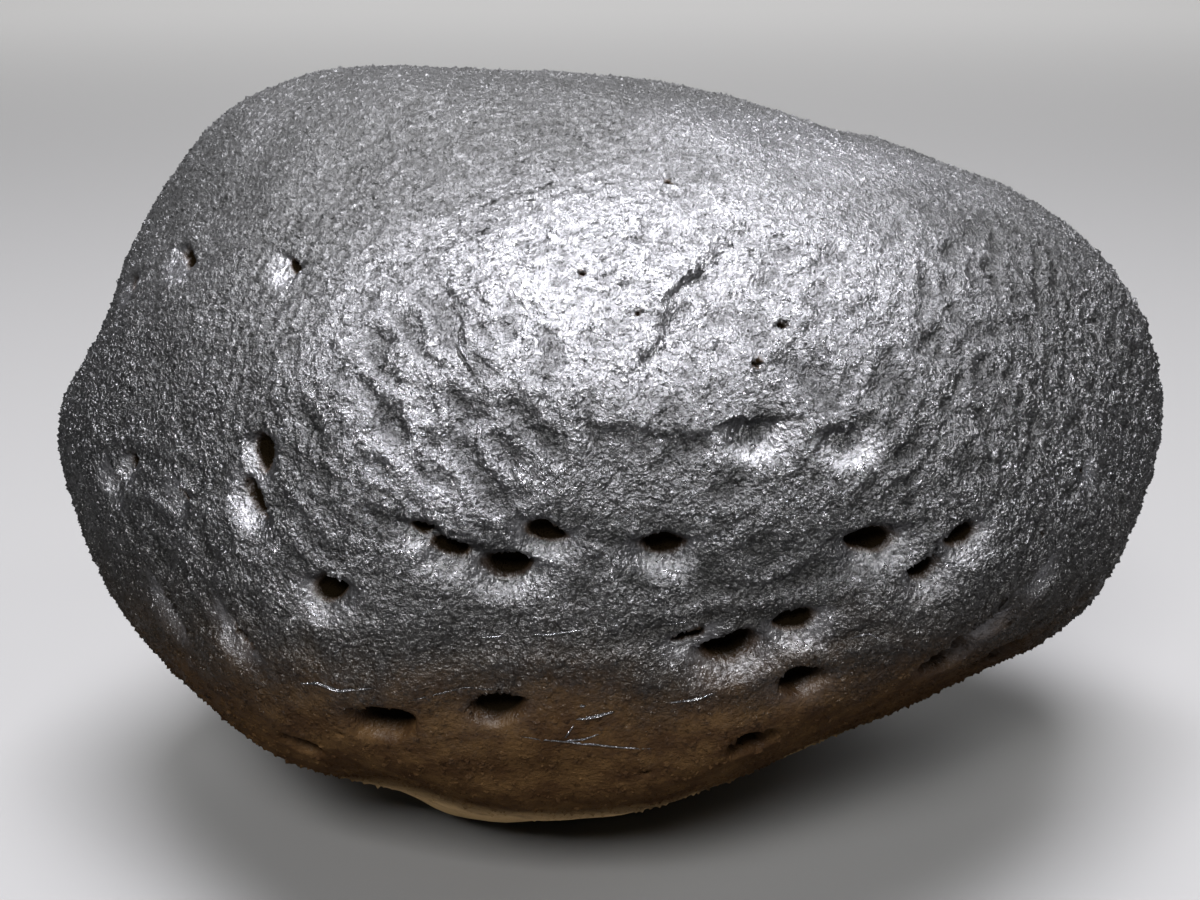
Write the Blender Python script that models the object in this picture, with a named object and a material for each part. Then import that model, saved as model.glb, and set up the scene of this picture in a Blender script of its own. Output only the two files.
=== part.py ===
"""A whole, closed geode nodule: one dark grey pitted stone that stands on a small flat spot.

The stone is a star-shaped surface about one centre point. Every direction from the
centre has one distance: that of a rounded block of soft facets, plus lumps, folds
and a slow unevenness, less the pits. Millimetres are used up to the last step.
"""

import bmesh
import bpy
import numpy as np

MM = 0.001

# main sizes
CENTRE = (-4.25, -0.9, 72.0)  # the centre point: it sets the box's middle over the origin
ROUNDING = 11.0  # higher makes the soft facets meet more sharply
TRIANGLES = 9400  # of the finished stone
FLOOR_SNAP = 0.4  # points nearer than this to the flat spot's plane are laid on it

# Soft facets: longitude, latitude, distance of the facet from the centre.
# Longitude 0 is the front and 90 the right end. Latitude 90 is up.
FACETS = [
    (90, 89, 73),
    (-90, 60, 104),
    (-90, 35, 104),
    (-90, 0, 114),
    (-90, -33, 102),
    (-90, -60, 88),
    (0, -90, 76.5),
    (90, -66, 74),
    (90, -38, 106),
    (90, -6, 122),
    (90, 29, 120),
    (90, 52, 101),
    (90, 74, 73),
    (0, 48, 75),
    (4, -6, 79),
    (-46, 4, 91),
    (50, 2, 95),
    (-6, -52, 77),
    (34, -49, 73),
    (62, -42, 87),
    (-52, -46, 84),
    (172, 8, 77),
    (176, 50, 75),
    (-176, -45, 76),
    (-128, 5, 91),
    (140, -4, 92),
    (-50, 43, 86),
    (50, 36, 88),
    (-132, 40, 87),
    (132, 36, 88),
    (142, -34, 86),
    (-138, -32, 88),
]

# Lumps and hollows: longitude, latitude, half width along and across in degrees,
# turn from level in degrees, height.
LUMPS = [
    (-82, 14, 11, 7, 0, -3.0),  # slack above the left nose
    (-90, 42, 18, 14, 0, 5.6),  # upper left shoulder
    (-76, -4, 11, 8, 0, -3.2),  # hollow under the nose
    (-60, -23, 14, 8, -20, 2.0),
    (-44, -30, 8, 6, -20, 1.6),  # small chin at the lower left
    (-36, -36, 9, 7, -20, -3.4),  # nick between chin and keel
    (-50, -48, 12, 8, 10, -3.6),
    (73, -12, 15, 11, -20, 2.6),  # heavy lower right corner
    (86, 2, 12, 8, 0, -0.6),
    (118, 54, 20, 13, 0, -2.6),  # sag of the back line
    (90, 27, 12, 9, 0, 1.5),
    (-12, 4, 13, 4, 0, -1.0),  # shallow trough that the front pits lie in
    (27, 3, 14, 5, 8, -1.1),
    (4, 14, 11, 4, 0, -0.5),  # under the brow
    (-7, -26, 6, 4, 0, -0.8),  # dent in the underside
    (80, -78, 16, 12, 0, 2.0),  # heel at the right of the flat spot
    (118, 20, 20, 14, 15, 1.6),
    (-150, 24, 18, 14, -10, 1.8),
    (165, -14, 22, 9, 5, -1.6),
    (-120, -12, 14, 12, 20, -1.4),
    (132, -28, 14, 10, -15, 1.8),
]

# Folds: points as longitude and latitude, half width, height (furrows are negative).
FOLDS = [
    ([(-12, 19), (-3, 19), (5, 20), (15, 18)], 3.2, 0.7),  # brow over the trough
    ([(24, 43), (15, 37), (10, 34), (7, 29), (5, 24)], 2.8, -0.7),  # long furrow
    ([(-29, 39), (-20, 33), (-17, 29), (-14, 21)], 2.4, -0.8),  # bent crease
    ([(-36, -8), (-28, -11), (-18, -10), (-8, -7), (2, -8), (10, -12)], 3.6, 0.8),
    ([(6, -11), (15, -11), (24, -8), (36, -7), (46, -5)], 3.4, 0.7),
    ([(100, -9), (128, -13), (150, -8), (172, -12)], 3.8, 0.8),
    ([(-172, -10), (-148, -14), (-122, -6)], 3.8, 0.7),
    ([(-160, 40), (-148, 31), (-140, 27)], 2.8, -0.7),
    ([(150, 45), (140, 33)], 2.8, -0.6),
]

# Pits: longitude, latitude, half width along and across, turn, depth.
# A pit is steep above and runs out gently below.
PITS = [
    (-65, 29, 2.6, 1.4, -5, 1.6),
    (-45, 33, 2.4, 1.4, -10, 0.7),
    (-75, 23, 2.2, 1.4, 20, 1.2),
    (-38, 13, 2.2, 3.2, 10, 1.8),
    (-38, 8, 4.3, 1.9, -36, 3.2),
    (-63, 4, 2.8, 1.4, -45, 2.4),
    (-60, 7, 1.8, 1.6, 0, 1.8),
    (-50, 6, 1.8, 1.2, -40, 1.2),
    (-53, -8, 4.0, 1.5, -42, 2.4),
    (-40, -6, 4.0, 1.5, -38, 2.4),
    (-28, 1, 3.2, 2.0, 5, 2.6),
    (-19, 8, 1.5, 1.2, -10, 2.0),
    (-16, 6, 3.2, 1.4, -16, 1.6),
    (-10, 4, 4.4, 2.1, -5, 3.8),
    (-6, 8, 3.3, 1.4, -14, 2.2),
    (7, 6, 3.6, 1.6, 0, 2.8),
    (10, -5, 3.1, 1.2, 20, 1.3),
    (15, -7, 5.0, 2.4, 18, 4.2),
    (22, -4, 3.4, 1.4, 12, 1.3),
    (24, -12, 4.2, 1.7, 14, 3.0),
    (20, -22, 4.2, 1.8, 24, 3.0),
    (30, 5, 3.7, 2.4, 8, 3.0),
    (36, 1, 3.4, 1.9, 28, 2.8),
    (40, 4, 4.0, 1.4, 32, 1.8),
    (62, 6, 2.1, 1.7, 15, 1.6),
    (52, -3, 2.8, 1.4, 38, 1.8),
    (46, -8, 2.8, 1.5, 26, 2.0),
    (44, -12, 4.8, 1.9, 36, 3.2),
    (58, -17, 3.2, 1.6, 24, 2.4),
    (-25, -15, 4.6, 2.4, 0, 4.0),
    (-12, -14, 4.3, 1.5, 3, 2.2),
    (-38, -22, 3.4, 1.8, -18, 2.6),
]

# The far side has pits of the same kind, in the same low band.
FAR_PITS = 24
FAR_FROM, FAR_TO = 74.0, 282.0  # longitudes
FAR_SEED = 11

# Slow unevenness: length of the waves and height.
WAVES = [(62.0, 0.7), (27.0, 0.28), (13.0, 0.1)]
WAVE_SEED = 5


def direction(lon, lat):
    """The unit vector at a longitude and latitude in degrees."""
    lon, lat = np.radians(lon), np.radians(lat)
    return np.stack([np.sin(lon) * np.cos(lat), -np.cos(lon) * np.cos(lat), np.sin(lat)], -1)


def around(d, lon, lat, turn):
    """How far each direction lies along and across a place, in degrees, and which lie near it."""
    middle, east = direction(lon, lat), direction(lon + 90, 0.0)
    north = np.cross(east, -middle)
    ahead = d @ middle
    near = ahead > 0.4
    ahead = np.where(near, ahead, 1.0)
    u, v = np.degrees(d @ east / ahead), np.degrees(d @ north / ahead)
    t = np.radians(turn)
    return u * np.cos(t) + v * np.sin(t), v * np.cos(t) - u * np.sin(t), near


def block(d):
    """The rounded block: the power mean of the distances to all facet planes."""
    total = np.zeros(len(d))
    for lon, lat, distance in FACETS:
        total += np.maximum(0.0, d @ direction(lon, lat) / distance) ** ROUNDING
    return total ** (-1.0 / ROUNDING)


def lumps(d):
    """The sum of the bell-shaped lumps and hollows."""
    out = np.zeros(len(d))
    for lon, lat, along, across, turn, height in LUMPS:
        a, b, near = around(d, lon, lat, turn)
        out += near * height * np.exp(-((a / along) ** 2) - (b / across) ** 2)
    return out


def folds(d, r):
    """Ridges and furrows: a bell across the distance to a fold's chords, fading to its ends."""
    out = np.zeros(len(d))
    for points, half_width, height in FOLDS:
        corners = [direction(lon, lat) for lon, lat in points]
        nearest = np.full(len(d), 1e9)
        strength = np.zeros(len(d))
        for step, (start, end) in enumerate(zip(corners, corners[1:])):
            run = end - start
            share = np.clip((d - start) @ run / (run @ run), 0.0, 1.0)
            gap = np.linalg.norm(d - start - share[:, None] * run, axis=1) * r
            along = (step + share) / (len(corners) - 1)
            strength = np.where(gap < nearest, np.sin(np.pi * along) ** 0.7, strength)
            nearest = np.minimum(nearest, gap)
        out += strength * height * np.exp(-((nearest / half_width) ** 2))
    return out


def far_pits():
    """Pits of the far side, laid out in order of longitude and then shaken."""
    rng = np.random.default_rng(FAR_SEED)
    lon = np.linspace(FAR_FROM, FAR_TO, FAR_PITS) + rng.uniform(-4, 4, FAR_PITS)
    lat = rng.uniform(-21, 14, FAR_PITS)
    along = rng.uniform(1.8, 4.6, FAR_PITS)
    across = along * rng.uniform(0.42, 0.8, FAR_PITS)
    turn = rng.uniform(-35, 35, FAR_PITS)
    depth = across * rng.uniform(1.1, 1.7, FAR_PITS)
    return list(zip(lon, lat, along, across, turn, depth))


def pits(d, r):
    """The depth of all pits: a steep-walled scoop and the wide soft dip below it."""
    out = np.zeros(len(d))
    for lon, lat, along, across, turn, depth in PITS + far_pits():
        a, b, near = around(d, lon, lat, turn)
        a, b = np.radians(a) * r, np.radians(b) * r
        reach = np.where(b > 0, 0.85, 1.25) * across
        scoop = np.exp(-(((a / along) ** 2 + (b / reach) ** 2) ** 1.5))
        dip = np.exp(-((a / (1.7 * along)) ** 2) - ((b + 1.1 * across) / (2.2 * across)) ** 2)
        out = np.maximum(out, near * depth * (scoop + 0.22 * dip))
    return out


def waves(p):
    """Slow unevenness: for each length, a sum of level waves in many directions."""
    rng = np.random.default_rng(WAVE_SEED)
    out = np.zeros(len(p))
    for length, height in WAVES:
        for _ in range(18):
            way = rng.normal(size=3)
            way *= 2 * np.pi / (np.linalg.norm(way) * length * rng.uniform(0.8, 1.25))
            out += height / 3.0 * np.cos(p @ way + rng.uniform(0, 2 * np.pi))
    return out


def radius(d):
    """The distance of the skin from the centre in each direction."""
    r = block(d) + lumps(d)
    return r + folds(d, r) + waves(d * r[:, None]) - pits(d, r)


def clear_scene():
    """An empty scene: no object of any kind is left."""
    for thing in list(bpy.data.objects):
        bpy.data.objects.remove(thing, do_unlink=True)


def make_collection(name):
    """A collection of the scene."""
    group = bpy.data.collections.new(name)
    bpy.context.scene.collection.children.link(group)
    return group


def make_stone_material():
    """Dark grey stone with a slight gloss."""
    material = bpy.data.materials.new("dark grey stone")
    material.use_nodes = True
    shader = material.node_tree.nodes["Principled BSDF"]
    shader.inputs["Base Color"].default_value = (0.085, 0.085, 0.09, 1.0)
    shader.inputs["Roughness"].default_value = 0.5
    shader.inputs["Metallic"].default_value = 0.0
    return material


def shape_sphere():
    """A fine sphere whose points are moved out to the stone's skin."""
    bm = bmesh.new()
    bmesh.ops.create_icosphere(bm, subdivisions=7, radius=1.0)
    mesh = bpy.data.meshes.new("geode fine")
    bm.to_mesh(mesh)
    bm.free()
    spots = np.empty(3 * len(mesh.vertices))
    mesh.vertices.foreach_get("co", spots)
    d = spots.reshape(-1, 3)
    d = d / np.linalg.norm(d, axis=1, keepdims=True)
    p = d * radius(d)[:, None] + np.array(CENTRE)
    mesh.vertices.foreach_set("co", (p * MM).ravel())
    mesh.update()
    return mesh


def thin_out(mesh, group):
    """The same skin in fewer triangles, which gather where it bends most."""
    thing = bpy.data.objects.new("geode fine", mesh)
    group.objects.link(thing)
    thinner = thing.modifiers.new("fewer triangles", "DECIMATE")
    thinner.decimate_type = "COLLAPSE"
    thinner.ratio = TRIANGLES / len(mesh.polygons)
    thin = bpy.data.meshes.new_from_object(
        thing.evaluated_get(bpy.context.evaluated_depsgraph_get())
    )
    bpy.data.objects.remove(thing, do_unlink=True)
    return thin


def stand_on_flat(mesh):
    """The stone cut level at height 0, with the cut closed by one crisp flat face."""
    bm = bmesh.new()
    bm.from_mesh(mesh)
    for vert in bm.verts:
        if abs(vert.co.z) < FLOOR_SNAP * MM:
            vert.co.z = 0.0
    bmesh.ops.bisect_plane(
        bm,
        geom=bm.verts[:] + bm.edges[:] + bm.faces[:],
        dist=1e-7,
        plane_co=(0, 0, 0),
        plane_no=(0, 0, 1),
        clear_inner=True,
    )
    rim = [edge for edge in bm.edges if edge.is_boundary]
    base = bmesh.ops.contextual_create(bm, geom=rim)["faces"]
    for face in bm.faces:
        face.smooth = True
    for face in base:
        face.smooth = False
        for edge in face.edges:
            edge.smooth = False
    bmesh.ops.triangulate(bm, faces=base)
    bmesh.ops.recalc_face_normals(bm, faces=bm.faces[:])
    bm.to_mesh(mesh)
    bm.free()
    mesh.update()


def make_geode():
    """The one piece of the object."""
    clear_scene()
    group = make_collection("agate geode")
    mesh = thin_out(shape_sphere(), group)
    stand_on_flat(mesh)
    mesh.name = "geode"
    mesh.materials.clear()
    mesh.materials.append(make_stone_material())
    geode = bpy.data.objects.new("geode", mesh)
    group.objects.link(geode)
    return geode


make_geode()
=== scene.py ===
import itertools

import bpy
import numpy as np
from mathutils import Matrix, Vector


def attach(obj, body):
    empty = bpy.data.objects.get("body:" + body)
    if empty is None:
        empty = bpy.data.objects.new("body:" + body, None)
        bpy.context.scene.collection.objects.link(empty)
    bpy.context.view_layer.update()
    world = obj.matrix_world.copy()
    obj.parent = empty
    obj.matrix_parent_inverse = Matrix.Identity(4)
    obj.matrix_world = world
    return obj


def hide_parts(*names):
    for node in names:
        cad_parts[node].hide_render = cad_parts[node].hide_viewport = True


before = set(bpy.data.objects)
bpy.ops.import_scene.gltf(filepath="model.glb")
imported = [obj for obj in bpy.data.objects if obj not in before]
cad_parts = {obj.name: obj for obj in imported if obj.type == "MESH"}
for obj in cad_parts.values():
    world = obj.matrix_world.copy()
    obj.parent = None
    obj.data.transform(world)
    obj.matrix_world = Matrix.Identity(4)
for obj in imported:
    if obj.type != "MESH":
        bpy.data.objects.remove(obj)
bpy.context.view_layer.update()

# The looks of a whole, closed geode: a dark grey, pitted stone with a satin skin that
# is dull and brown with dust underneath. Millimetres are used up to the last step.

MM = 0.001
CENTRE = (-4.25, -0.9, 72.0)  # the point that the stone's skin is measured from
ROUNDING = 11.0  # higher makes the soft facets meet more sharply
GRID = (290, 230, 200)  # cells along, across and up before thinning
TRIANGLES = 196000  # of the finished skin
RIPPLE_CENTRE = (5, 20)  # longitude and latitude that the rings in the skin run round
MEAN_RADIUS = 85.0

# Soft facets: longitude, latitude, distance of the facet from the centre.
# Longitude 0 is the front and 90 the right end. Latitude 90 is up.
FACETS = [
    (90, 89, 73),
    (-90, 60, 104),
    (-90, 35, 104),
    (-90, 0, 114),
    (-90, -33, 102),
    (-90, -60, 88),
    (0, -90, 76.5),
    (90, -66, 74),
    (90, -38, 106),
    (90, -6, 122),
    (90, 29, 120),
    (90, 52, 101),
    (90, 74, 73),
    (0, 48, 75),
    (4, -6, 79),
    (-46, 4, 91),
    (50, 2, 95),
    (-6, -52, 77),
    (34, -49, 73),
    (62, -42, 87),
    (-52, -46, 84),
    (172, 8, 77),
    (176, 50, 75),
    (-176, -45, 76),
    (-128, 5, 91),
    (140, -4, 92),
    (-50, 43, 86),
    (50, 36, 88),
    (-132, 40, 87),
    (132, 36, 88),
    (142, -34, 86),
    (-138, -32, 88),
]

# Lumps and hollows: longitude, latitude, half width along and across in degrees,
# turn from level in degrees, height.
LUMPS = [
    (-82, 14, 11, 7, 0, -3.0),  # slack above the left nose
    (-90, 42, 18, 14, 0, 5.6),  # upper left shoulder
    (-76, -4, 11, 8, 0, -3.2),  # hollow under the nose
    (-60, -23, 14, 8, -20, 2.0),
    (-44, -30, 8, 6, -20, 1.6),  # small chin at the lower left
    (-36, -36, 9, 7, -20, -3.4),  # nick between chin and keel
    (-50, -48, 12, 8, 10, -3.6),
    (73, -12, 15, 11, -20, 2.6),  # heavy lower right corner
    (86, 2, 12, 8, 0, -0.6),
    (118, 54, 20, 13, 0, -2.6),  # sag of the back line
    (90, 27, 12, 9, 0, 1.5),
    (-12, 4, 13, 4, 0, -1.0),  # shallow trough that the front pits lie in
    (27, 3, 14, 5, 8, -1.1),
    (4, 14, 11, 4, 0, -0.5),  # under the brow
    (-7, -26, 6, 4, 0, -0.8),  # dent in the underside
    (80, -78, 16, 12, 0, 2.0),  # heel at the right of the flat spot
    (118, 20, 20, 14, 15, 1.6),
    (-150, 24, 18, 14, -10, 1.8),
    (165, -14, 22, 9, 5, -1.6),
    (-120, -12, 14, 12, 20, -1.4),
    (132, -28, 14, 10, -15, 1.8),
]

# Folds: points as longitude and latitude, half width, height (furrows are negative).
FOLDS = [
    ([(-29, 39), (-20, 33), (-17, 29), (-14, 21)], 2.4, -0.8),  # bent crease
    ([(-36, -8), (-28, -11), (-18, -10), (-8, -7), (2, -8), (10, -12)], 3.6, 0.8),
    ([(6, -11), (15, -11), (24, -8), (36, -7), (46, -5)], 3.4, 0.7),
    ([(100, -9), (128, -13), (150, -8), (172, -12)], 3.8, 0.8),
    ([(-172, -10), (-148, -14), (-122, -6)], 3.8, 0.7),
    ([(-160, 40), (-148, 31), (-140, 27)], 2.8, -0.7),
    ([(150, 45), (140, 33)], 2.8, -0.6),
]

# Narrow creases and cracks, too fine for the solid.
CREASES = [
    ([(-27, 37), (-21.5, 33.5), (-19.5, 32.5), (-18, 31)], 0.9, -0.8),
    ([(-19.5, 32.5), (-18, 31), (-16.5, 29.5)], 1.7, -0.9),
    ([(-19, 40.5), (-18, 40), (-17.5, 39)], 0.5, -0.5),
    ([(2, 32), (4, 31.6), (5.5, 32)], 0.5, -0.4),
    ([(1.5, 21), (4, 21.2)], 0.5, -0.3),
    ([(-21, 9.0), (-18.5, 8.0), (-16, 6.4), (-12, 5.4), (-8, 5.0)], 1.5, -1.5),  # joins the pits
    ([(24, -7), (29, -5.5), (34, -5)], 1.4, -0.9),
]

# Ledges: points with the low side on the right, drop, width of the fall, length that
# the low side takes to climb back. Millimetres.
LEDGES = [
    ([(4, 22), (7, 29), (10, 34), (15, 37), (25, 43)], 1.9, 2.8, 9.0),
    ([(-3, 19.5), (2, 18.7), (8, 19.0), (13, 18.3)], 1.5, 1.4, 9.0),
    ([(-16, 19.5), (-10, 19), (-4, 20)], 1.0, 1.5, 5.0),
]

# Pits: longitude, latitude, half width along and across, turn, depth. A pit is a steep
# hole, with a ramp below it that climbs out of it.
PITS = [
    (-65, 29, 2.6, 1.4, -5, 1.6),
    (-45, 33, 1.8, 1.0, -10, 0.5),
    (-75, 23, 2.2, 1.4, 20, 1.2),
    (-38, 13, 2.2, 3.2, 10, 1.8),
    (-38, 8, 4.3, 1.9, -36, 3.2),
    (-63, 4, 2.8, 1.4, -45, 2.4),
    (-60, 7, 1.8, 1.6, 0, 1.8),
    (-50, 6, 1.8, 1.2, -40, 1.2),
    (-53, -8, 4.0, 1.5, -42, 2.4),
    (-40, -6, 4.0, 1.5, -38, 2.4),
    (-28, 1, 3.2, 2.0, 5, 2.6),
    (-19, 8, 1.5, 1.2, -10, 2.0),
    (-16, 6, 3.2, 1.4, -16, 1.6),
    (-10, 4, 4.4, 2.1, -5, 3.8),
    (-6, 8, 3.3, 1.4, -14, 2.2),
    (7, 6, 3.6, 1.6, 0, 2.8),
    (10, -5, 3.1, 1.2, 20, 1.3),
    (15, -7, 4.8, 2.9, 12, 4.2),
    (22, -4, 3.2, 1.7, 10, 1.8),
    (24, -12, 3.8, 3.1, 8, 3.8),
    (20, -22, 4.0, 3.2, 18, 3.4),
    (30, 5, 3.7, 2.4, 8, 3.0),
    (36, 1, 2.8, 2.3, 12, 3.2),
    (40, 4, 3.2, 1.9, 14, 2.0),
    (62, 6, 2.1, 1.7, 15, 1.6),
    (52, -3, 2.8, 1.8, 38, 2.2),
    (46, -8, 3.0, 1.9, 26, 2.4),
    (44, -12, 4.8, 4.4, 24, 4.6),
    (58, -17, 3.8, 3.6, 18, 3.6),
    (-25, -15, 4.6, 3.9, 0, 4.2),
    (-12, -14, 4.2, 2.6, 3, 2.6),
    (-38, -22, 3.6, 2.6, -14, 3.0),
]

# Dents: in the same form as the pits, but open and not dark inside.
DENTS = [
    (17.5, 18.0, 4.2, 1.8, -4, 1.5),
    (27, 16.3, 3.6, 1.7, -4, 1.4),
]

RAMP = 4.6  # length of the ramp out of a pit
STEEP = 2.4  # how sharp the edge of a hole is
SOFT = 1.3  # how soft the painted shade round it is
ROUND = 1.5  # how round a pinhole is

# The far side has pits of the same kind, in the same low band.
FAR_PITS = 24
FAR_FROM, FAR_TO = 74.0, 282.0  # longitudes
FAR_SEED = 11

# Pinholes, in the same form as the pits.
PINHOLES = [
    (23, 29, 0.8, 0.7, 0, 1.2),
    (18.5, 25, 0.7, 0.6, 0, 0.9),
    (13.5, 51, 0.8, 0.6, 20, 1.0),
    (-2.5, 37, 0.6, 0.5, 0, 0.7),
    (5, 32, 0.6, 0.4, 0, 0.6),
    (6, -26, 0.7, 0.6, 0, 0.9),
    (-30.5, -18, 0.6, 0.5, 0, 0.8),
    (52, 1.5, 0.9, 0.5, 30, 0.7),
]

# Scratches: points, half width and height in millimetres, and how much painted shade darkens them,
# from 0 to 1.
SCRATCHES = [
    ([(-17.9, 27.6), (-16.3, 25.9), (-14.9, 24.2), (-13.4, 22.5)], 0.40, 0.36, 1.0),
    ([(-17.5, 27.8), (-15.9, 26.1), (-15.0, 25.0)], 0.22, 0.55, 0.0),
    ([(-20.3, 26.1), (-18.1, 24.6)], 0.25, 0.34, 1.0),
    ([(-10.7, 16.7), (-7.4, 14.0)], 0.22, 0.46, 0.0),
    ([(-9.9, 14.9), (-7.4, 11.9)], 0.28, 0.34, 1.0),
    ([(-9.4, 14.9), (-6.9, 11.9)], 0.18, 0.44, 0.0),
    ([(-8.5, 15.9), (-6.2, 13.5)], 0.24, 0.34, 1.0),
    ([(-7.6, -3.8), (-4.6, -3.7), (-1.9, -3.4)], 0.20, 0.45, 0.0),
    ([(7.2, -3.5), (9.8, -3.1)], 0.20, 0.42, 0.0),
    ([(-13.0, -4.2), (-10.0, -3.9)], 0.20, 0.40, 0.0),
    ([(-2.8, -15.6), (1.7, -14.7)], 0.28, 0.50, 0.0),
    ([(-2.4, -13.6), (-1.6, -13.5)], 0.24, 0.40, 0.0),
    ([(-3.0, -16.2), (-4.3, -18.7)], 0.18, 0.30, 0.0),
    ([(-9.3, -17.9), (-4.8, -19.0), (-1.2, -19.8), (4.8, -21.0), (6.6, -21.2)], 0.15, 0.26, 0.4),
    ([(-4.8, -19.1), (-2.1, -18.9), (0.4, -17.9)], 0.15, 0.22, 0.4),
    ([(7.9, -13.9), (11.2, -13.3), (13.7, -12.3)], 0.26, 0.30, 0.0),
    ([(-32.4, -10.4), (-29.7, -9.7), (-27.3, -10.2), (-23.6, -9.6)], 0.30, 0.48, 0.0),
    ([(27.9, -6.3), (30.0, -5.8), (32.6, -7.2)], 0.16, 0.22, 0.0),
    ([(-21.0, -11.8), (-15.0, -10.6), (-11.0, -11.2)], 0.13, 0.18, 0.3),
    ([(110.0, 8.0), (116.0, 2.0), (119.0, 0.0)], 0.16, 0.22, 0.0),
    ([(168.0, 24.0), (176.0, 17.0), (179.0, 12.0)], 0.18, 0.22, 0.0),
    ([(-150.0, -6.0), (-141.0, -4.5)], 0.16, 0.22, 0.0),
]

# Crumpled patches: longitude, latitude, half width along and across in degrees, then the
# crumples' width, how many times longer they are, their turn from level, and their height.
CRUMPLES = [
    (-17, 20, 17, 13, 5.2, 1.9, -42, 1.60),
    (28, 24, 24, 17, 5.0, 2.0, 34, 0.90),
    (58, 18, 24, 22, 4.8, 1.6, 40, 0.80),
    (-42, 2, 26, 14, 6.0, 1.5, -28, 0.55),
    (8, 2, 26, 9, 5.6, 1.8, 6, 0.60),
    (92, 2, 24, 26, 4.8, 1.4, 30, 0.70),
    (2, 38, 30, 22, 2.8, 1.4, 10, 0.34),
    (150, 22, 34, 18, 5.0, 2.0, 28, 0.80),
    (-140, 12, 34, 20, 5.4, 1.8, -30, 0.75),
    (180, -2, 30, 14, 5.6, 1.6, 10, 0.60),
]

# Slow unevenness: length of the waves and height.
WAVES = [(62.0, 0.7), (27.0, 0.28), (13.0, 0.1)]
WAVE_SEED = 5

# The edge of the dust on the underside: longitude, latitude.
DUST_BORDER = [
    (-180, -13),
    (-90, -17),
    (-60, -15),
    (-46, -12.5),
    (-32, -11.5),
    (-10, -11.5),
    (0, -13),
    (12, -14),
    (23, -12),
    (46, -11),
    (70, -15),
    (180, -13),
]

RAGGED = [(7.0, 1.0, 11), (2.4, 0.35, 14)]  # size, shift and seed of the noise that frays edges


def direction(lon, lat):
    """The unit vector at a longitude and latitude in degrees."""
    lon, lat = np.radians(lon), np.radians(lat)
    return np.stack([np.sin(lon) * np.cos(lat), -np.cos(lon) * np.cos(lat), np.sin(lat)], -1)


def around(d, lon, lat, turn):
    """How far each direction lies along and across a place, in degrees, and which lie near it."""
    middle, east = direction(lon, lat), direction(lon + 90, 0.0)
    north = np.cross(east, -middle)
    ahead = d @ middle
    near = ahead > 0.4
    ahead = np.where(near, ahead, 1.0)
    u, v = np.degrees(d @ east / ahead), np.degrees(d @ north / ahead)
    t = np.radians(turn)
    return u * np.cos(t) + v * np.sin(t), v * np.cos(t) - u * np.sin(t), near


def block(d):
    """The rounded block: the power mean of the distances to all facet planes."""
    total = np.zeros(len(d))
    for lon, lat, distance in FACETS:
        total += np.maximum(0.0, d @ direction(lon, lat) / distance) ** ROUNDING
    return total ** (-1.0 / ROUNDING)


def lumps(d):
    """The sum of the bell-shaped lumps and hollows."""
    out = np.zeros(len(d))
    for lon, lat, along, across, turn, height in LUMPS:
        a, b, near = around(d, lon, lat, turn)
        out += near * height * np.exp(-((a / along) ** 2) - (b / across) ** 2)
    return out


def beside(d, r, points):
    """Where each direction lies beside a line of points.

    The distance to the nearest chord, the distance past it on its right, both in
    millimetres, and how far along the line that is, from 0 to 1.
    """
    corners = [direction(lon, lat) for lon, lat in points]
    nearest, past, along = np.full(len(d), 1e9), np.zeros(len(d)), np.zeros(len(d))
    for step, (start, end) in enumerate(zip(corners, corners[1:])):
        run = end - start
        share = np.clip((d - start) @ run / (run @ run), 0.0, 1.0)
        gap = np.linalg.norm(d - start - share[:, None] * run, axis=1) * r
        right = np.cross(run, start + end)
        near = gap < nearest
        past = np.where(near, (d - start) @ (right / np.linalg.norm(right)) * r, past)
        along = np.where(near, (step + share) / (len(corners) - 1), along)
        nearest = np.minimum(nearest, gap)
    return nearest, past, along


def folds(d, r, lines):
    """Ridges and furrows: a bell across the distance to a fold's chords, fading to its ends."""
    out = np.zeros(len(d))
    for points, half_width, height in lines:
        nearest, _, along = beside(d, r, points)
        out += np.sin(np.pi * along) ** 0.7 * height * np.exp(-((nearest / half_width) ** 2))
    return out


def far_pits():
    """Pits of the far side, laid out in order of longitude and then shaken."""
    rng = np.random.default_rng(FAR_SEED)
    lon = np.linspace(FAR_FROM, FAR_TO, FAR_PITS) + rng.uniform(-4, 4, FAR_PITS)
    lat = rng.uniform(-21, 14, FAR_PITS)
    along = rng.uniform(1.8, 4.6, FAR_PITS)
    across = along * rng.uniform(0.42, 0.8, FAR_PITS)
    turn = rng.uniform(-35, 35, FAR_PITS)
    depth = across * rng.uniform(1.1, 1.7, FAR_PITS)
    return list(zip(lon, lat, along, across, turn, depth))


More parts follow.
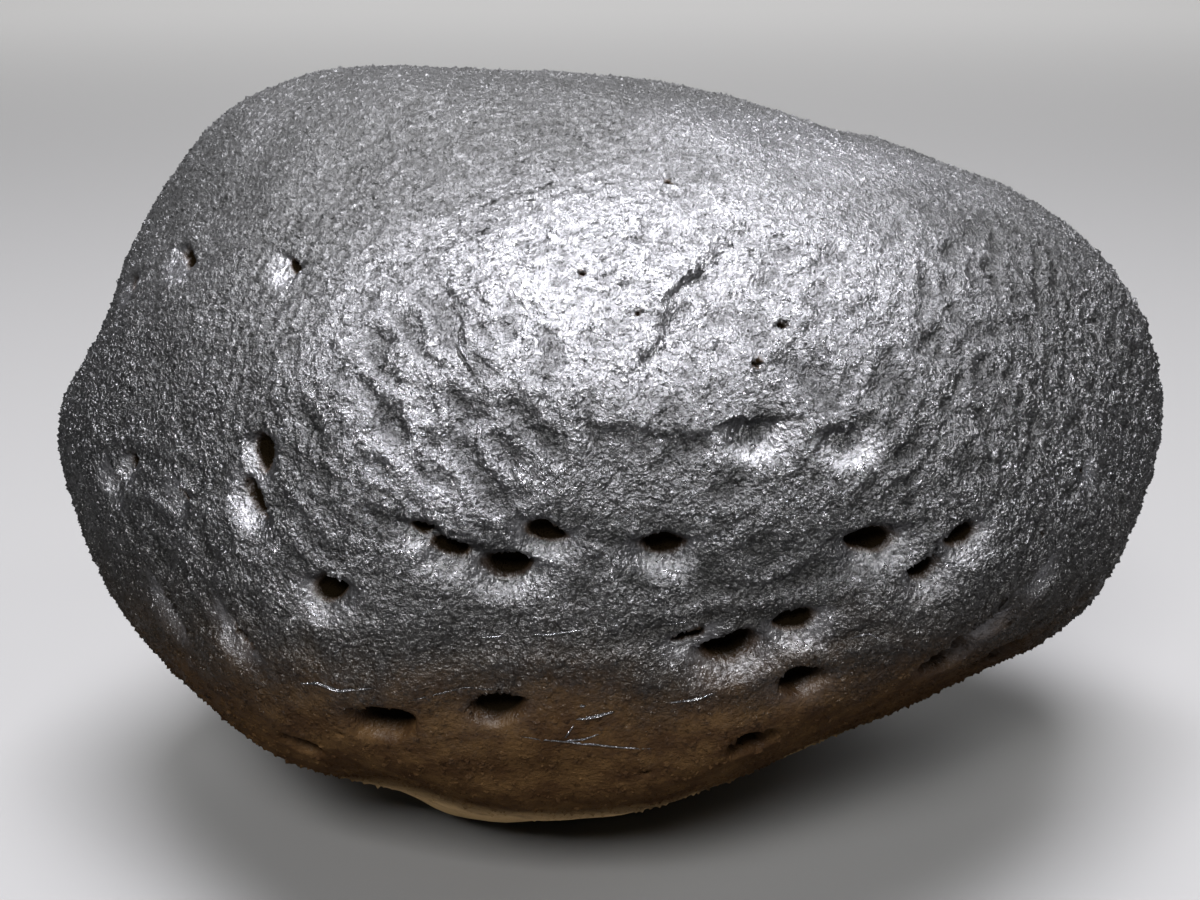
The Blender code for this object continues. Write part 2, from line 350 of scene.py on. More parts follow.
def pits(d, r, holes, edge, ramps=True):
    """The depth of all pits, and how far inside a hole and on a ramp each point lies, 0 to 1.

    A hole is a bell to the power of edge. Above the dusty underside each can have a ramp
    below it: the skin climbs out of the hole smoothly, over RAMP millimetres, and faces up.
    """
    out = np.zeros(len(d))
    inside = np.zeros(len(d))
    ramped = np.zeros(len(d))
    for lon, lat, along, across, turn, depth in holes:
        spot = np.flatnonzero(d @ direction(lon, lat) > 0.96)
        a, b, _ = around(d[spot], lon, lat, turn)
        a, b = np.radians(a) * r[spot], np.radians(b) * r[spot]
        reach = np.where(b > 0, 0.85, 1.15) * across
        scoop = np.exp(-(((a / along) ** 2 + (b / reach) ** 2) ** edge))
        ramp = smooth(b, -across - RAMP, -across * 0.2) * smooth(b, across, 0.2 * across)
        ramp *= np.exp(-((np.abs(a) / (along + 0.8)) ** 2.5))
        ramp *= ramps / (1 + np.exp(-(lat + 11) / 1.5))
        fall = (1.0 + 0.6 * depth) * ramp
        out[spot] = np.maximum(out[spot], np.maximum((1.25 * depth + 0.8) * scoop, fall))
        inside[spot] = np.maximum(inside[spot], scoop)
        ramped[spot] = np.maximum(ramped[spot], 4 * ramp * (1 - ramp))
    return out, inside, ramped


def smooth(x, start, end):
    """0 before start and 1 past end, smooth between them. Start may lie past end."""
    t = np.clip((x - start) / (end - start), 0, 1)
    return t * t * (3 - 2 * t)


def ledges(d, r):
    """Ledges: right of each line the skin falls smoothly by the drop, then climbs back."""
    out = np.zeros(len(d))
    fray = 1.3 * noise(d * r[:, None], 6.0, 81) + 0.7 * noise(d * r[:, None], 2.6, 82)
    for points, drop, fall, back in LEDGES:
        nearest, past, along = beside(d, r, points)
        fallen = smooth(past + fray, -fall / 2, fall / 2)
        out -= np.sin(np.pi * along) ** 0.5 * drop * fallen * np.exp(-nearest / back)
    return out


def waves(p):
    """Slow unevenness: for each length, a sum of level waves in many directions."""
    rng = np.random.default_rng(WAVE_SEED)
    out = np.zeros(len(p))
    for length, height in WAVES:
        for _ in range(18):
            way = rng.normal(size=3)
            way *= 2 * np.pi / (np.linalg.norm(way) * length * rng.uniform(0.8, 1.25))
            out += height / 3.0 * np.cos(p @ way + rng.uniform(0, 2 * np.pi))
    return out


def noise(p, size, seed):
    """Smooth noise, about -1 to 1: random slopes at the corners of cubes, blended across each."""
    rng = np.random.default_rng(seed)
    slopes = rng.normal(size=(4096, 3))
    slopes /= np.linalg.norm(slopes, axis=1, keepdims=True)
    q = p / size
    base = np.floor(q).astype(np.int64)
    f = q - base
    blend = f * f * f * (f * (f * 6 - 15) + 10)
    out = np.zeros(len(p))
    for corner in itertools.product((0, 1), repeat=3):
        cell = (base + corner) * (73856093, 19349663, 83492791)
        key = (cell[:, 0] ^ cell[:, 1] ^ cell[:, 2]) % 4096
        share = np.where(corner, blend, 1 - blend).prod(axis=1)
        out += share * np.einsum("ij,ij->i", slopes[key], f - corner)
    return 1.6 * out


def patch(d, lon, lat, along, across, turn=0):
    """A soft-edged patch, 1 inside and 0 outside, as an oval in degrees."""
    a, b, near = around(d, lon, lat, turn)
    return near * np.exp(-(((a / along) ** 2 + (b / across) ** 2) ** 1.5))


def ragged(d):
    """The directions moved a little by noise, which makes the edges of holes and folds ragged."""
    p = MEAN_RADIUS * d
    for size, shift, seed in RAGGED:
        p = p + shift * np.stack([noise(p, size, seed + way) for way in range(3)], -1)
    return p / np.linalg.norm(p, axis=1, keepdims=True)


def crumples(d, r):
    """Crumples: in each patch ridged noise, 1 less twice its size, stretched along its turn."""
    out = np.zeros(len(d))
    for index, (lon, lat, along, across, width, longer, turn, height) in enumerate(CRUMPLES):
        spot = np.flatnonzero(d @ direction(lon, lat) > 0.6)
        a, b, _ = around(d[spot], lon, lat, 0)
        share = np.exp(-(((a / along) ** 2 + (b / across) ** 2) ** 1.5))
        a, b, _ = around(d[spot], lon, lat, turn)
        a, b = np.radians(a) * r[spot] / longer, np.radians(b) * r[spot]
        place = np.stack([a, b, 0 * a], -1)
        ridged = 1 - 2 * np.abs(noise(place, width, 40 + index))
        ridged += 0.4 * noise(place, 0.45 * width, 60 + index)
        out[spot] += share * height * (ridged - 0.4)
    return out


def ripples(d, p):
    """Ripples in rings about the ripple centre: a wave of the distance, bent by noise."""
    apart = MEAN_RADIUS * np.arccos(np.clip(d @ direction(*RIPPLE_CENTRE), -1, 1))
    bend = 2.2 * noise(p, 9.0, 71) + 0.8 * noise(p, 3.5, 72)
    fleck = 0.6 + 0.6 * noise(p, 7.0, 73)
    return 0.32 * ringed(d) * fleck * np.sin(2 * np.pi * (apart + bend) / 3.1)


def grains(d, p):
    """Pebbly grain: noise at two sizes, coarser at the ends and the low band, fine on top."""
    high = 1 / (1 + np.exp(-(p[:, 2] - 25) / 8))
    under = 1 / (1 + np.exp((p[:, 2] + 22) / 5))
    right = 1 / (1 + np.exp(-(p[:, 0] - 45) / 12))
    coarse = (1 - 0.6 * high + 0.6 * right) * (1 - 0.75 * under)
    knobs = np.maximum(0, noise(p, 1.9, 25) - 0.35) ** 1.5
    return 0.22 * coarse * noise(p, 2.8, 23) + 0.14 * noise(p, 8.0, 24) + (1 - under) * 0.9 * knobs


def relief(d):
    """The skin's unevenness in millimetres: crumples, pebbly grain and ripples."""
    r = block(d)
    p = d * r[:, None]
    return crumples(d, r) + grains(d, p) + ripples(d, p)


def creased(d):
    """How deep in a narrow crease each direction lies, from 0 to 1."""
    return np.clip(-1.1 * folds(ragged(d), block(d), CREASES), 0, 1)


def holed(d):
    """How far inside a hole, and how far on a ramp, each direction lies, from 0 to 1."""
    r = block(d)
    torn = ragged(d)
    _, inside, ramped = pits(torn, r, PITS + far_pits(), STEEP)
    _, soft, _ = pits(torn, r, PITS + far_pits(), SOFT, False)
    _, small, _ = pits(d, r, PINHOLES, ROUND, False)
    _, _, dented = pits(torn, r, DENTS, STEEP)
    return np.maximum(np.maximum(inside, soft), small), np.maximum(ramped, dented)


def skin(d):
    """The distance of the finished skin from the centre in each direction."""
    r = block(d) + lumps(d)
    torn = ragged(d)
    r += folds(torn, r, FOLDS)
    r += waves(d * r[:, None])
    r += folds(torn, r, CREASES) + ledges(torn, r)
    deep, inside, ramped = pits(torn, r, PITS + far_pits(), STEEP)
    small, _, _ = pits(d, r, PINHOLES, ROUND, False)
    dent, _, dented = pits(torn, r, DENTS, STEEP)
    deep, ramped = np.maximum(deep, dent), np.maximum(ramped, dented)
    r += (1 - inside) * (1 - 0.6 * ramped) * relief(d)
    r -= deep + small
    floor = np.where(d[:, 2] < -0.1, -CENTRE[2] / np.minimum(d[:, 2], -0.1), 1e9)
    return np.minimum(r, floor)


def ball_grid(cells):
    """Six grids welded along their edges, on the sides of a box: directions and quads.

    The lines on a side lie at the tangents of equal angles, stretched to the stone's proportions.
    """
    quads = []
    for axis in range(3):
        a, b = (axis + 1) % 3, (axis + 2) % 3
        u, v = np.meshgrid(np.arange(cells[a]), np.arange(cells[b]), indexing="ij")
        for end in (0, cells[axis]):
            corners = np.empty((u.size, 4, 3), np.int64)
            corners[..., axis] = end
            corners[..., a] = u.reshape(-1, 1) + np.array([0, 1, 1, 0])
            corners[..., b] = v.reshape(-1, 1) + np.array([0, 0, 1, 1])
            quads.append(corners if end else corners[:, ::-1])
    spots, index = np.unique(np.concatenate(quads).reshape(-1, 3), axis=0, return_inverse=True)
    sides = np.array(cells, float)
    d = np.tan(np.pi / 4 * (2 * spots / sides - 1)) * sides
    return d / np.linalg.norm(d, axis=1, keepdims=True), index.reshape(-1, 4)


def make_mesh(name, points, faces):
    """A mesh of quads or of triangles, filled in whole arrays."""
    mesh = bpy.data.meshes.new(name)
    mesh.vertices.add(len(points))
    mesh.vertices.foreach_set("co", points.ravel())
    mesh.loops.add(faces.size)
    mesh.loops.foreach_set("vertex_index", faces.ravel())
    mesh.polygons.add(len(faces))
    mesh.polygons.foreach_set("loop_start", np.arange(0, faces.size, faces.shape[1]))
    mesh.polygons.foreach_set("use_smooth", np.ones(len(faces), bool))
    mesh.update(calc_edges=True)
    return mesh


def thin_out(mesh, triangles):
    """The same skin in fewer triangles, which gather where it bends most."""
    thing = bpy.data.objects.new(mesh.name, mesh)
    bpy.context.scene.collection.objects.link(thing)
    thinner = thing.modifiers.new("fewer triangles", "DECIMATE")
    thinner.decimate_type = "COLLAPSE"
    thinner.use_collapse_triangulate = True
    thinner.ratio = triangles / (2 * len(mesh.polygons))
    thin = bpy.data.meshes.new_from_object(
        thing.evaluated_get(bpy.context.evaluated_depsgraph_get())
    )
    bpy.data.objects.remove(thing, do_unlink=True)
    return thin


def lay(mesh, name, values):
    """An attribute of the mesh, one value a point, for the material to read."""
    layer = mesh.attributes.new(name, "FLOAT", "POINT")
    layer.data.foreach_set("value", values.astype(np.float32))


def flow(d):
    """The direction that the grain runs in: round the rings, or up the slanting ridges."""
    lon = np.degrees(np.arctan2(d[:, 0], -d[:, 1]))
    east = direction(lon + 90, 0.0 * lon)
    north = np.cross(d, east)
    slant = np.radians(np.where((lon > 8) | (lon < -120), 36.0, -35.0))[:, None]
    slanting = np.cos(slant) * east + np.sin(slant) * north
    ring = np.cross(direction(*RIPPLE_CENTRE), d)
    ring /= np.maximum(np.linalg.norm(ring, axis=1, keepdims=True), 1e-6)
    return np.where(ringed(d)[:, None] > 0.4, ring, slanting)


def make_grains(name, skin_mesh, count, size, longer, height, sway, seed, share):
    """Thousands of low, four-sided grains half sunk in the skin, each with its own size and turn.

    They are spread evenly over the skin's area, thinned by share(d, p), and turned to the flow
    give or take the sway in degrees. Six triangles each.
    """
    rng = np.random.default_rng(seed)
    faces = skin_mesh.loop_triangles
    skin_mesh.calc_loop_triangles()
    corners = np.empty(3 * len(faces), np.int64)
    faces.foreach_get("vertices", corners)
    spots = np.empty(3 * len(skin_mesh.vertices))
    skin_mesh.vertices.foreach_get("co", spots)
    corner = spots.reshape(-1, 3)[corners.reshape(-1, 3)] / MM - CENTRE
    middle = corner.mean(axis=1)
    normal = np.cross(corner[:, 1] - corner[:, 0], corner[:, 2] - corner[:, 0])
    area = np.linalg.norm(normal, axis=1)
    d = middle / np.linalg.norm(middle, axis=1, keepdims=True)
    chance = area * share(d, middle)
    pick = rng.choice(len(area), count, p=chance / chance.sum())
    a, b = rng.random((2, count, 1))
    a, b = np.where(a + b > 1, 1 - a, a), np.where(a + b > 1, 1 - b, b)
    first, second, third = corner[pick].transpose(1, 0, 2)
    p = first + a * (second - first) + b * (third - first)
    up = normal[pick] / area[pick, None]
    along = flow(d[pick])
    along -= up * np.einsum("ij,ij->i", along, up)[:, None]
    along /= np.linalg.norm(along, axis=1, keepdims=True)
    across = np.cross(up, along)
    turn = np.radians(rng.normal(0, sway, (count, 1)))
    along, across = (
        np.cos(turn) * along + np.sin(turn) * across,
        np.cos(turn) * across - np.sin(turn) * along,
    )
    wide = size * rng.uniform(0.6, 1.5, (count, 1)) / 2
    long = wide * rng.uniform(1.0, 2 * longer - 1, (count, 1))
    tall = 2 * wide * height * rng.uniform(0.6, 1.4, (count, 1))
    points = np.empty((count, 5, 3))
    for index, (far, side) in enumerate([(1, 0), (0, 1), (-1, 0), (0, -1)]):
        stray = rng.normal(0, 0.18, (2, count, 1))
        points[:, index] = (
            p + along * long * (far + stray[0]) + across * wide * (side + stray[1]) - 0.5 * tall * up
        )
    stray = rng.normal(0, 0.25, (2, count, 1))
    points[:, 4] = p + along * long * stray[0] + across * wide * stray[1] + tall * up
    sides = np.array([(0, 1, 4), (1, 2, 4), (2, 3, 4), (3, 0, 4), (0, 2, 1), (0, 3, 2)])
    triangles = (5 * np.arange(count)[:, None, None] + sides).reshape(-1, 3)
    points = points.reshape(-1, 3)
    points[:, 2] = np.maximum(points[:, 2], -CENTRE[2])
    mesh = make_mesh(name, (points + CENTRE) * MM, triangles)
    ends = np.empty(2 * len(mesh.edges), np.int32)
    mesh.edges.foreach_get("vertices", ends)
    rim = (ends.reshape(-1, 2) % 5 < 4).all(axis=1)
    mesh.attributes.new("sharp_edge", "BOOLEAN", "EDGE").data.foreach_set("value", rim)
    # The grains' bottom corners get painted shade, like crevices.
    finish_piece(name, mesh, 0.8 * (np.arange(len(points)) % 5 < 4))


def make_scratches():
    """Scratches: three-sided tubes, pointed at both ends, that lie half sunk in the skin."""
    points, faces, dark = [], [], []
    for line, half_width, height, shade in SCRATCHES:
        corners = np.array([direction(lon, lat) for lon, lat in line])
        steps = np.linalg.norm(np.diff(corners, axis=0), axis=1) * MEAN_RADIUS
        mark = np.concatenate([[0.0], np.cumsum(steps)])
        count = int(mark[-1] / 0.6) + 3
        along = np.linspace(0.0, mark[-1], count)
        d = np.stack([np.interp(along, mark, corners[:, axis]) for axis in range(3)], -1)
        d /= np.linalg.norm(d, axis=1, keepdims=True)
        p = d * skin(d)[:, None]
        ahead = np.gradient(p, axis=0)
        side = np.cross(ahead, d)
        side /= np.linalg.norm(side, axis=1, keepdims=True)
        full = (0.05 + np.sin(np.pi * np.linspace(0, 1, count)) ** 0.6)[:, None]
        ring = np.stack(
            [
                p - side * half_width * full - 0.15 * d,
                p + side * half_width * full - 0.15 * d,
                p + height * full * d,
            ],
            axis=1,
        )
        first = sum(len(part) for part in points)
        points.append(ring.reshape(-1, 3))
        dark.append(np.full(3 * count, shade))
        base = first + 3 * np.arange(count - 1)[:, None]
        for a, b in ((0, 1), (1, 2), (2, 0)):
            faces.append(base + np.array([a, b, b + 3]))
            faces.append(base + np.array([a, b + 3, a + 3]))
        last = first + 3 * (count - 1)
        faces.append(np.array([[first, first + 2, first + 1], [last, last + 1, last + 2]]))
    mesh = make_mesh("scratches", (np.concatenate(points) + CENTRE) * MM, np.concatenate(faces))
    # The scratches take the painted highlight colour, darkened by their painted shade.
    finish_piece("scratches", mesh, np.concatenate(dark), bare=True)


def finish_piece(name, mesh, gap=0.0, bare=False):
    """Lay on the mesh what the material reads, and put it into the scene.

    Gap is how much painted crevice shade each point gets. A bare piece has no dust and takes the
    painted highlight colour all over.
    """
    spots = np.empty(3 * len(mesh.vertices))
    mesh.vertices.foreach_get("co", spots)
    p = spots.reshape(-1, 3) / MM - CENTRE
    d = p / np.linalg.norm(p, axis=1, keepdims=True)
    inside, ramped = holed(d)
    # Painted shade: how much darker each point is painted, in the skin's low places and creases,
    # between grains and along dark scratches.
    low = np.maximum(smooth(relief(d), 0.25, -0.45) * (1 - 0.7 * ramped), creased(d))
    laid = {
        # How far inside a hole each point lies, which sets the painted shade in the pits.
        "hollow": inside,
        "dusty": dusty(d, p),
        "coarse": coarse(d, p) * (1 - 0.45 * ramped),
        # Painted highlight mask, with the ramps below the pits added to it.
        "polished": np.maximum(polished(d, p), ramped),
        "low": 1 - (1 - 0.7 * low) * (1 - gap),
    }
    if bare:
        none = np.zeros(len(p))
        laid.update(dusty=none, polished=none + 1, low=none + gap)
    for layer, values in laid.items():
        lay(mesh, layer, values)
    mesh.materials.append(bpy.data.materials["dark pitted stone"])
    piece = bpy.data.objects.new(name, mesh)
    bpy.context.scene.collection.objects.link(piece)
    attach(piece, "root")
    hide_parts("geode")


def make_stone():
    """The stone's skin: the fine surface, thinned, with grains sunk into it."""
    d, quads = ball_grid(GRID)
    points = (d * skin(d)[:, None] + CENTRE) * MM
    mesh = make_mesh("skin", points, quads)
    mesh = thin_out(mesh, TRIANGLES)
    for name, count, size, longer, height, sway, seed, share in GRAINS:
        make_grains(name, mesh, count, size, longer, height, sway, seed, share)
    make_scratches()
    # The skin between the grains gets some painted shade all over.
    finish_piece("stone_skin", mesh, 0.5)


def dusty(d, p):
    """How dusty and brown the skin is: from the underside's edge downwards, with a ragged border."""
    lon, lat = np.degrees(np.arctan2(d[:, 0], -d[:, 1])), np.degrees(np.arcsin(d[:, 2]))
    border = np.interp(lon, *np.transpose(DUST_BORDER))
    lat = lat - border + 3.0 * noise(p, 14.0, 31) + 1.5 * noise(p, 5.0, 32)
    return 1 / (1 + np.exp(lat / 2.8))


def polished(d, p):
    """Where the skin's finish is sleekest and a highlight is painted into its colour: the tall front
    face, a tongue below it and a shoulder, frayed.
    """
    frayed = d + 0.05 * noise(p, 12.0, 91)[:, None] * np.cross(d, (0.0, 0.0, 1.0))
    frayed[:, 2] += 0.05 * noise(p, 9.0, 92)
    face = patch(frayed, 9, 36, 42, 18, 4)
    tongue = patch(frayed, -17, 17, 11, 8, -50)
    shoulder = patch(frayed, 54, 54, 24, 14, -20)
    return np.clip(1.15 * np.maximum(np.maximum(face, tongue), 0.7 * shoulder), 0, 1)


def ringed(d):
    """Where the skin has flowed in rings: a band about the ripple centre, at the upper left."""
    lon, lat = np.degrees(np.arctan2(d[:, 0], -d[:, 1])), np.degrees(np.arcsin(d[:, 2]))
    apart = np.degrees(np.arccos(np.clip(d @ direction(*RIPPLE_CENTRE), -1, 1)))
    band = np.exp(-(((apart - 38) / 17) ** 4))
    left = 1 / (1 + np.exp((lon - 12) / 7))
    high = 1 / (1 + np.exp((12 - lat) / 5))
    return band * left * high


def coarse(d, p):
    """How coarse the grain is: fine on top and in the middle of the front, coarse at the right."""
    top = 1 / (1 + np.exp(-(p[:, 2] - 42) / 7))
    calm = 0.5 * patch(d, 2, 32, 17, 13, 10)
    right = 1 / (1 + np.exp(-(p[:, 0] - 35) / 14))
    return np.clip(0.9 - 0.4 * top - 0.35 * calm + 0.25 * right, 0.4, 1.2)


def clean(d, p):
    """Where grains sit: fewer in the dust and on ramps, none inside the holes."""
    inside, ramped = holed(d)
    high = smooth(p[:, 2], -58, -44)
    return high * (1 - 0.75 * dusty(d, p)) * (1 - inside) ** 2 * (1 - 0.75 * ramped)


def on_rings(d, p):
    """How many of the long grains lie at each place: most in the rings."""
    return clean(d, p) * (0.15 + ringed(d))


def on_top(d, p):
    """How many of the fine grains lie at each place: most on top."""
    return clean(d, p) * (1.4 - coarse(d, p))


def on_coarse(d, p):
    """How many of the coarse grains lie at each place: most at the right."""
    return clean(d, p) * coarse(d, p) ** 2


# Grains: name, count, width in millimetres, how many times longer, height as a share of the
# width, sway in degrees, seed, where.
GRAINS = [
    ("fine_grains", 33000, 0.9, 1.2, 0.25, 60, 1, on_top),
    ("flowing_grains", 33000, 0.9, 1.5, 0.25, 32, 2, on_rings),
    ("coarse_grains", 33000, 1.5, 1.15, 0.24, 70, 3, on_coarse),
]


# Colours of the skin and the dust, of the painted shade, highlight and glints, and how much the skin
# shines at a grazing look.
SKIN = (0.108, 0.108, 0.111)
BLOTCH = (0.068, 0.068, 0.069)
# Painted shade: the lower half of the skin is darker.
LOWER_SHADE = (0.048, 0.045, 0.040)
# The top: a duller grey, partly dust and partly painted light.
TOP_DUST_AND_LIGHT = (0.055, 0.055, 0.056)
# Painted highlight: the colour of the front face, the shoulder and the ramps below the pits, also
# given to the scratches.
PAINTED_HIGHLIGHT = (0.22, 0.22, 0.23)
# Painted glints: light specks in the colour.
PAINTED_GLINT = (0.42, 0.42, 0.43)
# Painted shade in crevices, low places, between grains and in the specks' gaps.
CREVICE_SHADE = (0.014, 0.014, 0.013)
DUST = (0.028, 0.014, 0.006)
PALE_DUST = (0.060, 0.033, 0.013)
END_DUST = (0.014, 0.006, 0.001)
# The foot: pale tan, partly dust and partly painted light against the shade where the stone meets
# the floor.
FOOT_DUST_AND_LIGHT = (0.50, 0.34, 0.17)
# Painted shade: black inside the pits.
PIT_SHADE = (0.003, 0.002, 0.001)
GRAZING = (0.45, 0.45, 0.45, 1.0)


class Value:
    """A socket that takes part in arithmetic: each operator adds its Math node."""

    def __init__(self, paint, socket):
        self.paint, self.socket = paint, socket

    def __add__(self, other):
        return self.paint.math("ADD", self, other)

    def __rsub__(self, other):
        return self.paint.math("SUBTRACT", other, self)

    def __mul__(self, other):
        return self.paint.math("MULTIPLY", self, other)

    __radd__ = __add__

    def fade(self, start, end):
        """0 before start and 1 past end, smooth between them."""
        sockets = {"Value": self, "From Min": start, "From Max": end}
        return self.paint.node("ShaderNodeMapRange", {"interpolation_type": "SMOOTHSTEP"}, sockets)


class Paint:
    """A new material and the one place where its nodes are made."""

    def __init__(self, name):
        self.material = bpy.data.materials.new(name)
        self.material.use_nodes = True
        self.tree = self.material.node_tree
        self.tree.nodes.clear()

    def node(self, kind, settings=None, sockets=None, out=0):
        """A node of a kind: its settings are set first, then the values or links of its sockets."""
        made = self.tree.nodes.new(kind)
        for key, value in (settings or {}).items():
            setattr(made, key, value)
        for key, value in (sockets or {}).items():
            socket = made.inputs[key]
            if isinstance(value, Value):
                self.tree.links.new(value.socket, socket)
            else:
                socket.default_value = value
        return Value(self, made.outputs[out]) if made.outputs else made

    def math(self, operation, *values):
        """A sum, difference or product of two values."""
        return self.node("ShaderNodeMath", {"operation": operation}, dict(enumerate(values)))

    def mix(self, share, first, second):
        """One colour or shade turning into another."""
        first, second = ((*c, 1.0) if isinstance(c, tuple) else c for c in (first, second))
        return self.node(
            "ShaderNodeMix",
            {"data_type": "RGBA", "clamp_factor": True},
            {0: share, 6: first, 7: second},
            2,
        )

    def attribute(self, name):
        """What finish_piece has laid on the mesh under that name."""
        return self.node("ShaderNodeAttribute", {"attribute_name": name}, None, 2)

    def coordinate(self, place, axis):
        """One coordinate of a place."""
        return self.node("ShaderNodeSeparateXYZ", None, {"Vector": place}, axis)

    def grain(self, place, size, detail, rough):
        """Noise from 0 to 1 with lumps of about that size in millimetres."""
        sockets = {"Vector": place, "Scale": 1.0 / size, "Detail": detail, "Roughness": rough}
        return self.node("ShaderNodeTexNoise", None, sockets)


def skin_shader(paint, place, z, bump):
    """The skin: half metallic, with a painted highlight and the sleekest finish in front, duller on
    top, and painted shade in its crevices and lower half.
    """
    low, polish = paint.attribute("low"), paint.attribute("polished")
    below, up = z.fade(10.0, -28.0), z.fade(20.0, 62.0)
    mottle = paint.grain(place, 16.0, 3.0, 0.6)
    # Painted specks: the light ones are glints, the dark gaps are shade between grains.
    painted_speck = paint.grain(place, 1.2, 3.0, 0.65)
    painted_speck_shade = painted_speck.fade(0.48, 0.34) * 0.6
    base = paint.mix(mottle.fade(0.35, 0.65) * 0.5, SKIN, BLOTCH)
    # Painted shade: the lower half is darker.
    base = paint.mix(below * 0.8, base, LOWER_SHADE)
    # The top: a duller grey, partly dust and partly painted light.
    base = paint.mix(up * 0.85, base, TOP_DUST_AND_LIGHT)
    # Painted highlight: the front face and the pit ramps are brighter in the colour itself.
    base = paint.mix(polish, base, PAINTED_HIGHLIGHT)
    # Painted glints: light specks in the colour.
    base = paint.mix(painted_speck.fade(0.54, 0.68) * 0.20, base, PAINTED_GLINT)
    # Painted shade: crevices, low places, grain bases and dark specks are darkened.
    base = paint.mix(1 - (1 - low * 0.9) * (1 - painted_speck_shade), base, CREVICE_SHADE)
    dull_top = up * (1 - polish * 0.8)
    return paint.node(
        "ShaderNodeBsdfPrincipled",
        None,
        {
            "Base Color": base,
            "Roughness": 0.14 + mottle * 0.10 + dull_top * 0.10 + low * 0.25,
            "Metallic": 0.96 - dull_top * 0.38,
            "Normal": bump,
            "IOR": 1.35,
            "Specular Tint": GRAZING,
        },
    )


def dust_and_pit_shade_shader(paint, place, z, dark, bump):
    """Dull brown dust, darker towards both ends; at the foot a pale tan band, partly dust and partly
    painted light against the shade where the stone meets the floor; painted shade, black, inside the
    pits.
    """
    x = paint.coordinate(place, 0)
    clouds = paint.grain(place, 6.0, 4.0, 0.65)
    brown = paint.mix(clouds.fade(0.35, 0.7), DUST, PALE_DUST)
    # The foot: pale tan, partly dust and partly painted light against the shade where the stone
    # meets the floor.
    brown = paint.mix(z.fade(-46.0, -62.0) * clouds * 2.2, brown, FOOT_DUST_AND_LIGHT)
    brown = paint.mix((x * x).fade(1200.0, 5600.0) * 0.6, brown, END_DUST)
    # Painted shade: black inside the pits.
    brown = paint.mix(dark, brown, PIT_SHADE)
    return paint.node(
        "ShaderNodeBsdfPrincipled",
        None,
        {"Base Color": brown, "Roughness": 0.7, "Normal": bump, "Specular IOR Level": 0.0},
    )


def paint_stone():
    """Dark grey satin stone, with dull dust underneath, painted shade in the pits, and fine grit all
    over.
    """
    paint = Paint("dark pitted stone")
    spot = paint.node("ShaderNodeTexCoord", None, None, "Object")
    place = paint.node(
        "ShaderNodeMapping",
        {"vector_type": "TEXTURE"},
        {"Vector": spot, "Location": Vector(CENTRE) * MM, "Scale": (MM, MM, MM)},
    )
    z = paint.coordinate(place, 2)
    dusty_share = paint.attribute("dusty")
    grit = paint.grain(place, 1.0, 3.0, 0.7) * (paint.attribute("coarse") * 1.25)
    height = grit * (1 - dusty_share * 0.6)
    bump = paint.node("ShaderNodeBump", None, {"Height": height, "Distance": MM, "Strength": 1.0})
    # Painted shade in the pits, from how far inside a hole each point lies.
    dark = paint.attribute("hollow").fade(0.2, 0.7)
    skin_look = skin_shader(paint, place, z, bump)
    dust_and_pit_shade_look = dust_and_pit_shade_shader(paint, place, z, dark, bump)
    dull_share = 1 - (1 - dusty_share * 0.88) * (1 - dark)
    shader = paint.node("ShaderNodeMixShader", None, {0: dull_share, 1: skin_look, 2: dust_and_pit_shade_look})
    paint.node("ShaderNodeOutputMaterial", None, {"Surface": shader})
    return paint.material


def make_floor():
    """A plain pale floor."""
    half = 12.0
    corners = [(-half, -half, 0), (half, -half, 0), (half, half, 0), (-half, half, 0)]
    mesh = bpy.data.meshes.new("floor")
    mesh.from_pydata(corners, [], [(0, 1, 2, 3)])
    paint = Paint("pale floor")
    shader = paint.node(
        "ShaderNodeBsdfPrincipled", None, {"Base Color": (0.098, 0.097, 0.096, 1), "Roughness": 0.8}
    )
    paint.node("ShaderNodeOutputMaterial", None, {"Surface": shader})
    mesh.materials.append(paint.material)
    floor = bpy.data.objects.new("floor", mesh)
    bpy.context.scene.collection.objects.link(floor)


def make_light(name, place, aim, size, watts, colour=(1.0, 1.0, 1.0), spread=180.0):
    """A rectangular soft light that faces a point and shines within the spread in degrees."""
    light = bpy.data.lights.new(name, "AREA")
    light.shape = "RECTANGLE"
    light.size, light.size_y = size
    light.energy = watts
    light.color = colour
    light.spread = np.radians(spread)
    lamp = bpy.data.objects.new(name, light)
    lamp.location = place
    lamp.rotation_euler = (Vector(aim) - Vector(place)).to_track_quat("-Z", "Y").to_euler()
    bpy.context.scene.collection.objects.link(lamp)


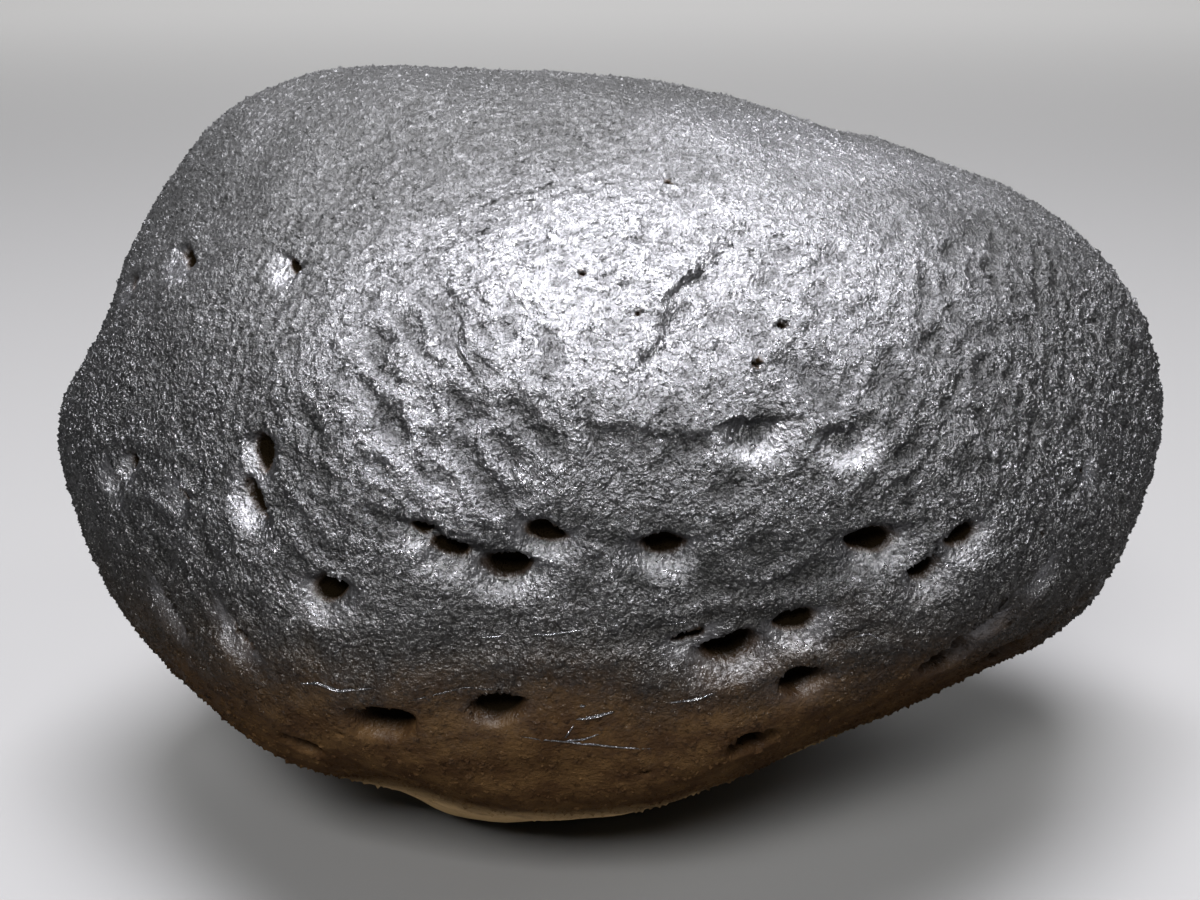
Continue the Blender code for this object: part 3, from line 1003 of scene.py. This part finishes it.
def make_lights():
    """An overhead softbox, small ones in front and at both sides, one for the floor behind."""
    stone = (0, 0, 0.09)
    make_light("overhead", (-0.01, -0.18, 1.25), stone, (0.66, 0.46), 78.0, (0.95, 0.95, 1.0))
    make_light("front", (-0.18, -1.0, 0.90), stone, (0.40, 0.30), 38.0)
    make_light("right", (1.0, -0.35, 1.0), stone, (0.35, 0.35), 7.0)
    make_light("left", (-1.0, -0.30, 1.1), stone, (0.35, 0.35), 0.5)
    make_light("behind", (0.0, 3.2, 2.4), (0, 3.2, 0), (5.0, 3.6), 250.0, spread=100.0)
    world = bpy.data.worlds.new("studio")
    world.use_nodes = True
    nodes, links = world.node_tree.nodes, world.node_tree.links
    way = nodes.new("ShaderNodeTexCoord")
    split = nodes.new("ShaderNodeSeparateXYZ")
    ramp = nodes.new("ShaderNodeMapRange")
    ramp.inputs["From Min"].default_value = -0.4
    ramp.inputs["To Min"].default_value = 0.06
    ramp.inputs["To Max"].default_value = 0.30
    links.new(way.outputs["Generated"], split.inputs[0])
    links.new(split.outputs["Y"], ramp.inputs["Value"])
    links.new(ramp.outputs[0], nodes["Background"].inputs["Strength"])
    nodes["Background"].inputs["Color"].default_value = (0.98, 0.99, 1.0, 1.0)
    bpy.context.scene.world = world


# Camera: the photograph's view, level side to side, from a little above.
CAMERA_AIM = (CENTRE[0], CENTRE[1], 70.0)
CAMERA_DISTANCE = 328.0
CAMERA_RISE = 18.0  # degrees above level
CAMERA_LENS = 50.0


def make_camera():
    """The camera in front of the stone."""
    rise = np.radians(CAMERA_RISE)
    back = Vector((0.0, -np.cos(rise), np.sin(rise)))
    camera = bpy.data.objects.new("camera", bpy.data.cameras.new("camera"))
    camera.data.lens = CAMERA_LENS
    camera.data.sensor_width = 36.0
    camera.data.clip_start = 0.01
    camera.location = (Vector(CAMERA_AIM) + back * CAMERA_DISTANCE) * MM
    camera.rotation_euler = back.to_track_quat("Z", "Y").to_euler()
    bpy.context.scene.collection.objects.link(camera)
    bpy.context.scene.camera = camera


def main():
    """The stone, what it stands on, the light and the camera."""
    paint_stone()
    make_stone()
    make_floor()
    make_lights()
    make_camera()
    bpy.context.scene.view_settings.view_transform = "Standard"


main()
